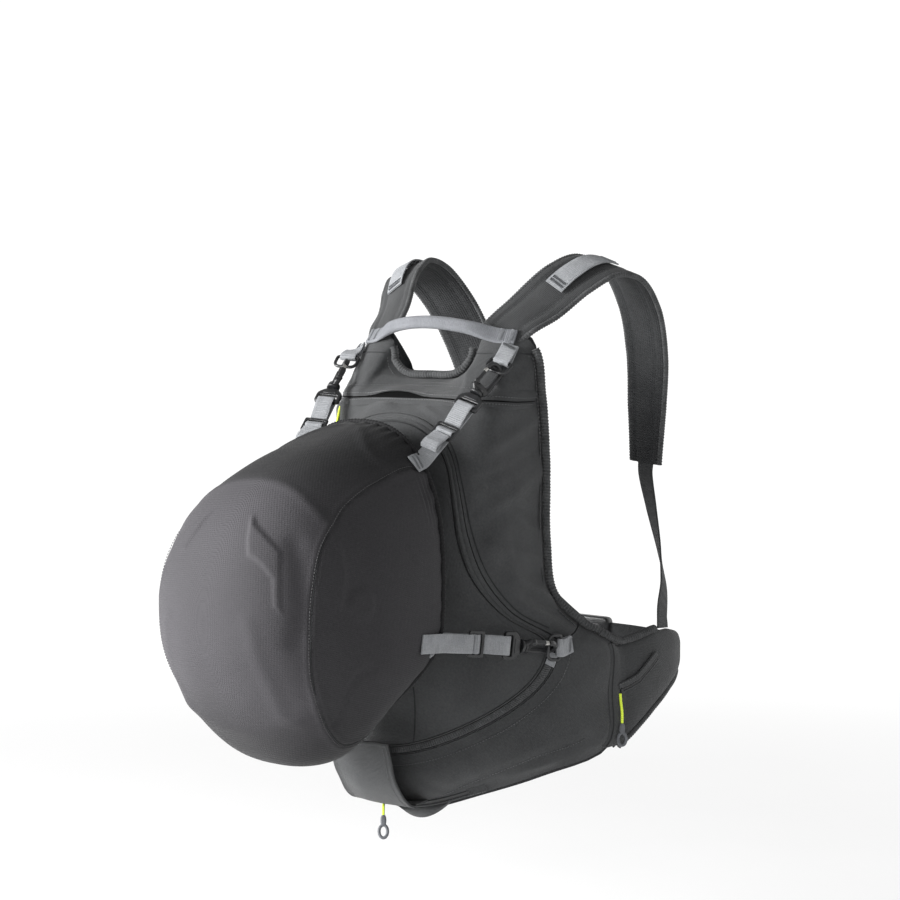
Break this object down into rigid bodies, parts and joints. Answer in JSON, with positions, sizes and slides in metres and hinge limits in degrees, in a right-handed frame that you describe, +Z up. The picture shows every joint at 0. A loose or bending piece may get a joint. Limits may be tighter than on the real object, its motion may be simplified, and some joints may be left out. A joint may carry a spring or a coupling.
{
  "type": "motorcycle backpack",
  "caption": "Slim charcoal motorcycle backpack with a padded harness, waist wings and a stretch helmet cover held on its front by webbing straps with sprung snap hooks.",
  "frame": {"origin": "on the padded face of the back panel, between the shoulder blades", "axes": "+X to the wearer's right, +Y the way the wearer faces, +Z up"},
  "size_m": [0.3798, 0.646, 0.6314],
  "materials": {
    "cloth": "matt woven polyester",
    "stretch": "smooth stretch knit",
    "webbing": "ribbed webbing",
    "harness": "matt padded polyester",
    "plastic": "satin moulded",
    "zip": "coil on woven tape",
    "cord": "braided",
    "rubber": "satin moulded"
  },
  "bodies": {
    "pack": {"front_panel": "cloth", "yoke_body": "cloth", "lower_band": "cloth", "back_panel": "cloth", "scoop_binding": "cloth", "lower_flap": "cloth", "zip_arch": "zip", "zip_lower": "zip", "helmet_cover": "stretch", "grab_handle": "webbing", "waist_buckle": "plastic", "edge_binding_right": "cloth", "waist_wing_right": "cloth", "waist_belt_right": "harness", "shoulder_strap_right": "harness", "strap_loop_right": "webbing", "strap_webbing_right": "harness", "edge_binding_left": "cloth", "waist_wing_left": "cloth", "waist_belt_left": "harness", "shoulder_strap_left": "harness", "strap_loop_left": "webbing", "strap_webbing_left": "harness", "ring_tab_upper_right": "webbing", "holder_strap_upper_right": "webbing", "d_ring_upper_right": "plastic", "strap_base_upper_right": "plastic", "tri_glide_upper_right": "plastic", "snap_hook_upper_right": "plastic", "ring_tab_upper_left": "webbing", "holder_strap_upper_left": "webbing", "d_ring_upper_left": "plastic", "strap_base_upper_left": "plastic", "tri_glide_upper_left": "plastic", "snap_hook_upper_left": "plastic", "ring_tab_lower_right": "webbing", "holder_strap_lower_right": "webbing", "d_ring_lower_right": "plastic", "strap_base_lower_right": "plastic", "tri_glide_lower_right": "plastic", "snap_hook_lower_right": "plastic", "ring_tab_lower_left": "webbing", "holder_strap_lower_left": "webbing", "d_ring_lower_left": "plastic", "strap_base_lower_left": "plastic", "tri_glide_lower_left": "plastic", "snap_hook_lower_left": "plastic", "pull_cord_right_wing": "cord", "pull_end_right_wing": "rubber", "pull_cord_left_wing": "cord", "pull_end_left_wing": "rubber", "pull_cord_top_pocket": "cord", "pull_end_top_pocket": "rubber", "pull_cord_bottom_pocket": "cord", "pull_end_bottom_pocket": "rubber"},
    "gate_upper_right": {"hook_gate_upper_right": "plastic"},
    "gate_upper_left": {"hook_gate_upper_left": "plastic"},
    "gate_lower_right": {"hook_gate_lower_right": "plastic"},
    "gate_lower_left": {"hook_gate_lower_left": "plastic"}
  },
  "joints": [
    {"name": "gate_upper_right_hinge", "type": "hinge", "parent": "pack", "child": "gate_upper_right", "pos_m": [0.09814, -0.07266, 0.08038], "axis": [-0.9304, 0.3261, -0.1673], "range_deg": [0, 26], "stiffness_Nm_per_rad": 0.02, "springref_deg": -20.05},
    {"name": "gate_upper_left_hinge", "type": "hinge", "parent": "pack", "child": "gate_upper_left", "pos_m": [-0.09958, -0.07283, 0.08047], "axis": [-0.5835, -0.6338, 0.5078], "range_deg": [0, 26], "stiffness_Nm_per_rad": 0.02, "springref_deg": -20.05},
    {"name": "gate_lower_right_hinge", "type": "hinge", "parent": "pack", "child": "gate_lower_right", "pos_m": [0.15222, -0.04313, -0.19524], "axis": [-0.5568, 0.2853, 0.7801], "range_deg": [0, 26], "stiffness_Nm_per_rad": 0.02, "springref_deg": -20.05},
    {"name": "gate_lower_left_hinge", "type": "hinge", "parent": "pack", "child": "gate_lower_left", "pos_m": [-0.15222, -0.04313, -0.19524], "axis": [-0.5568, -0.2853, -0.7801], "range_deg": [0, 26], "stiffness_Nm_per_rad": 0.02, "springref_deg": -20.05}
  ]
}
